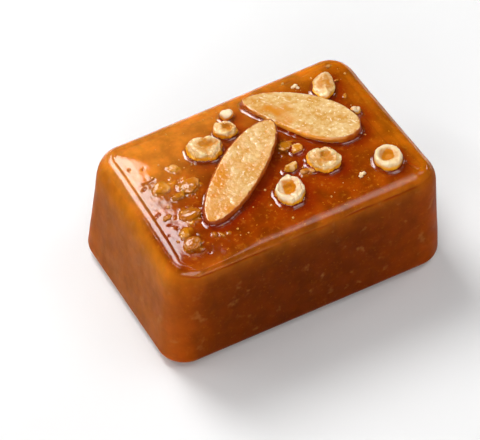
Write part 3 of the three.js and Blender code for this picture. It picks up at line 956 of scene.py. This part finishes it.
def make_block():
    rings, outward = block_rings()
    count = rings.shape[1]
    walls = rings.reshape(-1, 3)
    shaking = smoothstep(*WALL_UNEVEN_FROM, walls[:, 2])
    shaking *= smoothstep(*WALL_UNEVEN_TO, walls[:, 2] - RIM_HEIGHT)
    shake = shaking * (relief(walls, WALL_WAVES, 2, 4) + relief(walls, WALL_GRAIN, 2, 5))
    sway = CREASE_SWAY * fractal(walls * [1, 0, 0], CREASE_SWAY_RUN, 2, 6)
    level = (walls[:, 2] - RIM_HEIGHT - CREASE_HEIGHT + sway) / CREASE_WIDTH
    broken = smoothstep(*CREASE_BREAKS, fractal(walls * [1, 0, 0], CREASE_STRETCH, 2, 8))
    crease = np.exp(-(level**2)) * broken * np.clip(-outward.reshape(-1, 2)[:, 1], 0, 1) ** EDGE_FADE
    walls[:, :2] += outward.reshape(-1, 2) * (shake - CREASE_DEPTH * crease)[:, None]

    grid, border = top_patch(rings[-1, :, :2])
    heights = crown_heights(grid, rings)
    index = np.full(grid.shape[:2], -1)
    last = len(walls) - count
    index[0], index[:, -1], index[-1], index[:, 0] = (last + side for side in border)
    inner = index < 0
    index[inner] = len(walls) + np.arange(inner.sum())
    verts = np.vstack([walls, np.column_stack([grid[inner], heights[inner]])])
    to_corner = np.hypot((verts[:, 0] + LENGTH / 2) / LEVEL_STRETCH, verts[:, 1] + WIDTH / 2)
    above = np.clip(verts[:, 2] - RIM_HEIGHT - LEVEL_HEIGHT, 0, None)
    verts[:, 2] -= above * (1 - smoothstep(*LEVEL_CORNER, to_corner))

    faces = strips(count, len(rings))
    kinds = (rings[:-1, :, 2] > RIM_HEIGHT + GLAZE_EDGE).astype(int).ravel().tolist()
    quads = np.stack([index[:-1, :-1], index[:-1, 1:], index[1:, 1:], index[1:, :-1]], -1).reshape(-1, 4)
    faces += quads.tolist() + [list(range(count))[::-1]]
    kinds += [1] * len(quads) + [0]

    on_top = verts[:, 2] > RIM_HEIGHT + TOP_FROM
    inset = (HALF_SIZE - TOP_INSET - np.abs(verts[:, :2])).min(1)
    flat = on_top * smoothstep(*FLAT_INSET, inset)
    lumps, shows = lump_field(verts)
    left_end = smoothstep(*LEFT_END, verts[:, 0]) * smoothstep(*LEFT_END_BACK, verts[:, 1])
    left_end *= smoothstep(*LEFT_END_FRONT, verts[:, 1])
    ripple = (RIPPLE_HEIGHT + LEFT_RIPPLE * left_end) * fractal(verts, RIPPLE_SIZE, 2, 1)
    ripple += (LEFT_GRAIN * left_end + LUMP_GRAIN * shows) * fractal(verts, FINE_SIZE, 3, 2)
    pitted = on_top * pit_field(verts)
    grained = on_top * relief(verts, TOP_GRAIN, 2, 7)
    verts[:, 2] += flat * (lumps + ripple) + grained - PIT_DEPTH * pitted

    # Dark glaze and painted shadow by the toppings, painted shade in the crease and the pits
    pool_and_shade = np.zeros(len(verts))
    pool_and_shade[on_top] = pool_and_shadow_share(verts[on_top])
    pool_and_shade[: len(walls)] += SHADE_IN_DIPS * crease
    pool_and_shade += SHADE_IN_DIPS * pitted
    attributes = {"sunk": LUMP_SHOWS * flat * shows, "pool_and_shade": pool_and_shade, "tint_and_painted_light": caramel_tint_and_painted_light(verts)}
    obj = make_object("caramel_fine", verts, faces, [BODY, GLAZE], attributes, kinds)
    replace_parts(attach(obj, "root"), "caramel_block")
    return BVHTree.FromPolygons(verts.tolist(), faces)


def joined(parts):
    """One list of vertices and faces from several."""
    verts, faces, first = [], [], 0
    for part_verts, part_faces in parts:
        verts.append(part_verts)
        faces += [[i + first for i in face] for face in part_faces]
        first += len(part_verts)
    return np.vstack(verts), faces


topping_verts, topping_faces = joined(toppings)
TOPPING_TREE = BVHTree.FromPolygons(topping_verts.tolist(), topping_faces)
BLOCK_TREE = make_block()


def glaze_height(x, y):
    hit = BLOCK_TREE.ray_cast(Vector((x, y, HIGH)), DOWN)[0]
    return hit.z if hit else 0.0


# Fillets of glaze where the toppings stand in it


def waterline(verts, faces):
    """Closed outline of a topping where it stands in the glaze, with outward directions, or None."""
    centre = verts.mean(0)
    level = glaze_height(centre[0], centre[1]) + WATERLINE_LIFT
    wet = verts[np.abs(verts[:, 2] - level) < WATERLINE_BAND][:, :2]
    if len(wet) < WATERLINE_LEAST:
        return None
    axes = np.linalg.svd(wet - wet.mean(0), full_matrices=False)[2]
    local = (wet - wet.mean(0)) @ axes.T
    middle = wet.mean(0) + ((local.max(0) + local.min(0)) / 2) @ axes
    half = (local.max(0) - local.min(0)) / 2
    tree = BVHTree.FromPolygons(verts.tolist(), faces)
    count = int(2 * math.pi * half.mean() / FILLET_SPACING)
    points = []
    for angle in np.linspace(0, 2 * math.pi, count, endpoint=False):
        reach = (np.array([math.cos(angle), math.sin(angle)]) * half) @ axes * WATERLINE_START
        start = Vector((*(middle + reach), level))
        hit = tree.ray_cast(start, Vector((*-reach, 0)).normalized())[0]
        points.append([hit.x, hit.y] if hit else middle + reach / WATERLINE_START)
    points = np.array(points)
    for _ in range(WATERLINE_SMOOTHING):
        points = (np.roll(points, 1, 0) + 2 * points + np.roll(points, -1, 0)) / 4
    tangent = np.roll(points, -2, 0) - np.roll(points, 2, 0)
    outward = np.stack([tangent[:, 1], -tangent[:, 0]], 1)
    outward /= np.linalg.norm(outward, axis=1)[:, None]
    return points, outward * np.sign(np.sum(outward * (points - middle), 1).mean())


def make_fillets():
    parts, pool_and_shade_rows = [], []
    slope = np.linspace(0, 1, FILLET_STEPS) * FILLET_REACH
    away = np.concatenate([[-FILLET_TUCK], slope, [FILLET_REACH, -FILLET_TUCK]])
    share = np.clip(1 - away / FILLET_REACH, 0, 1)
    rise = FILLET_RISE * (FILLET_FOOT * share + (1 - FILLET_FOOT) * share**4)
    rise[-3] = -FILLET_EDGE_DEPTH
    rise[-2:] = -FILLET_DEPTH
    for verts, faces in toppings:
        found = waterline(verts, faces)
        if found is None:
            continue
        points, outward = found
        count = len(points)
        uneven = 1 + relief(np.column_stack([points, np.zeros(count)]), FILLET_WOBBLE, 2, 300)
        rows = []
        for distance, lift in zip(away, rise):
            row = points + outward * (distance * (uneven if distance > 0 else np.ones(count)))[:, None]
            lifts = lift * (uneven if lift > 0 else np.ones(count))
            rows.append(np.column_stack([row, [glaze_height(x, y) for x, y in row] + lifts]))
        parts.append((np.vstack(rows), strips(count, len(rows), closed=True)))
        # Painted shade where the climbing glaze meets a topping
        pool_and_shade_rows.append(np.repeat(POOL_AND_SHADE_IN_FILLETS * smoothstep(0.3, 0.75, share), count))
    verts, faces = joined(parts)
    pool_and_shade = np.maximum(np.concatenate(pool_and_shade_rows), pool_and_shadow_share(verts))
    attributes = {"pool_and_shade": pool_and_shade, "tint_and_painted_light": caramel_tint_and_painted_light(verts)}
    obj = make_object("glaze_fillets", verts, faces, [WET_GLAZE], attributes)
    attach(obj, "root")


make_fillets()


# Crumbs and specks of nut on the glaze


def crumb_form(detail):
    form = bmesh.new()
    bmesh.ops.create_icosphere(form, subdivisions=detail, radius=1)
    verts = np.array([v.co for v in form.verts])
    faces = [[v.index for v in f.verts] for f in form.faces]
    form.free()
    return verts, faces


def make_crumbs():
    rng = np.random.default_rng(SEED)
    places = []
    for (x, y), width in CRUMBS:
        for dx, dy in rng.uniform(-CRUMB_SPREAD, CRUMB_SPREAD, (CRUMB_GRAINS, 2)) * width:
            places.append((x + dx, y + dy, width * rng.uniform(*GRAIN_WIDTHS), CRUMB_DETAIL))
    while len(places) < len(CRUMBS) * CRUMB_GRAINS + SPECKS:
        x, y = rng.uniform(SPECKS_FROM, SPECKS_TO)
        width = SPECK_WIDTHS[0] + (SPECK_WIDTHS[1] - SPECK_WIDTHS[0]) * rng.random() ** 2
        where = Vector((x, y, RIM_HEIGHT + SPECK_LEVEL))
        if TOPPING_TREE.find_nearest(where, SPECK_GAP)[0] is None:
            places.append((x, y, width, SPECK_DETAIL))
    parts = []
    for seed, (x, y, width, detail) in enumerate(places):
        form, faces = crumb_form(detail)
        size = width / 2 * rng.uniform(*GRAIN_SIDES, 3)
        size[2] = width * GRAIN_HEIGHT
        shape = form * (1 + relief(form, GRAIN_SWELL, 2, 200 + seed))[:, None] * size
        parts.append((shape + [x, y, glaze_height(x, y) + GRAIN_LIFT * width], faces))
    verts, faces = joined(parts)
    tone = 1.0 + fractal(verts, 0.6, 2, 9)
    glazed = GRAIN_GLAZE * smoothstep(-0.1, 0.5, fractal(verts, 0.9, 2, 10))
    glazed[len(CRUMBS) * CRUMB_GRAINS * len(crumb_form(CRUMB_DETAIL)[0]) :] = SPECK_GLAZE
    obj = make_object("nut_crumbs", verts, faces, [CRUMB], {"tone": tone, "glazed": glazed})
    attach(obj, "root")


make_crumbs()


def make_bits():
    """Bits of nut that the glaze covers, most of them at the left end."""
    rng = np.random.default_rng(SEED + 1)
    places = [(x, y, length, width, rise, turn) for (x, y), (length, width), rise, turn in LUMPS]
    for x, y in rng.uniform(BITS_FROM, BITS_TO, (BITS, 2)):
        width = BIT_WIDTHS[0] + (BIT_WIDTHS[1] - BIT_WIDTHS[0]) * rng.random() ** 2
        length = width * rng.uniform(*BIT_LENGTHS)
        places.append((x, y, length, width, BIT_HEIGHT * width, rng.uniform(0, 180)))
    parts, shares = [], []
    for seed, (x, y, length, width, rise, turn) in enumerate(places):
        form, faces = crumb_form(BIT_DETAIL)
        swell = 1 + relief(form, BIT_SWELL, 2, 400 + seed)
        swell += relief(form, BIT_KNOBS, 2, 500 + seed)
        shape = form * swell[:, None]
        shape = (shape + chopped(shape, *BIT_CUTS, 400 + seed)) / 2
        shape = shape * [length / 2, width / 2, BIT_STANDS * rise]
        tilt = Matrix.Rotation(math.radians(rng.uniform(-BIT_TILT, BIT_TILT)), 3, "Y")
        spin = Matrix.Rotation(math.radians(turn), 3, "Z")
        shape = shape @ np.array(spin @ tilt).T
        parts.append((shape + [x, y, glaze_height(x, y)], faces))
        shares.append(np.full(len(form), rng.uniform(*BIT_SHOWS)))
    verts, faces = joined(parts)
    share = np.concatenate(shares)
    cream = 0.7 * smoothstep(0.0, 0.45, fractal(verts, 1.4, 2, 9))
    attributes = {"sunk": share, "cream": cream * share, "tint_and_painted_light": caramel_tint_and_painted_light(verts)}
    obj = make_object("glazed_bits", verts, faces, [GLAZED_BIT], attributes)
    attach(obj, "root")


make_bits()


# Floor, camera and light


def make_floor():
    material, tree, shader = new_material("floor")
    tone = blend(tree, grain(tree, 30.0), FLOOR_DARK, FLOOR_LIGHT)
    set_inputs(tree, shader, {"Base Color": tone, "Roughness": 0.8, "Specular IOR Level": 0.1})
    corners = [(x * FLOOR_REACH, y * FLOOR_REACH, 0) for x, y in CORNERS]
    make_object("floor", corners, [(0, 1, 2, 3)], [material])


def direction(azimuth, elevation):
    """Unit vector to a place at that azimuth, 0 in front and 90 to the right, and elevation."""
    a, e = math.radians(azimuth), math.radians(elevation)
    return Vector((math.sin(a) * math.cos(e), -math.cos(a) * math.cos(e), math.sin(e)))


def make_camera():
    camera = bpy.data.cameras.new("camera")
    camera.sensor_width = SENSOR_WIDTH
    camera.lens = CAMERA_LENS
    obj = bpy.data.objects.new("camera", camera)
    back = direction(CAMERA_AZIMUTH, CAMERA_ELEVATION)
    obj.location = (Vector(CAMERA_AIM) + back * CAMERA_DISTANCE) * MM
    obj.rotation_euler = back.to_track_quat("Z", "Y").to_euler()
    bpy.context.scene.collection.objects.link(obj)
    bpy.context.scene.camera = obj


def make_light(name, azimuth, elevation, distance, width, height, brightness, roll=0):
    """Rectangular lamp aimed at the middle of the top, as bright whatever its size."""
    lamp = bpy.data.lights.new(name, "AREA")
    lamp.shape = "RECTANGLE"
    lamp.size = width * MM
    lamp.size_y = height * MM
    lamp.energy = math.pi * width * height * MM * MM * brightness
    obj = bpy.data.objects.new(name, lamp)
    toward = direction(azimuth, elevation)
    obj.location = (Vector((0, 0, RIM_HEIGHT)) + toward * distance) * MM
    turn = toward.to_track_quat("Z", "Y") @ Quaternion((0, 0, 1), math.radians(roll))
    obj.rotation_euler = turn.to_euler()
    bpy.context.scene.collection.objects.link(obj)


def make_soft_light(name, lamp, sizes, brightness):
    """Light that fades towards its edges, made of lamps of growing size."""
    azimuth, elevation, distance, width, height = lamp
    for step, share in enumerate(sizes):
        away = distance + LAMP_GAP * step
        make_light(name, azimuth, elevation, away, width * share, height * share, brightness)


def make_world(strength):
    world = bpy.data.worlds.new("world")
    world.use_nodes = True
    tree = world.node_tree
    set_inputs(tree, tree.nodes["Background"], {"Color": (1, 1, 1, 1), "Strength": strength})
    bpy.context.scene.world = world


make_floor()
make_camera()
make_soft_light("key", KEY_LAMP, KEY_SIZES, KEY_BRIGHTNESS)
make_soft_light("overhead", OVERHEAD_LAMP, OVERHEAD_SIZES, OVERHEAD_BRIGHTNESS)
for name, lamp in LAMPS.items():
    make_light(name, *lamp)
make_world(WORLD_BRIGHTNESS)
bpy.context.scene.view_settings.view_transform = "Standard"
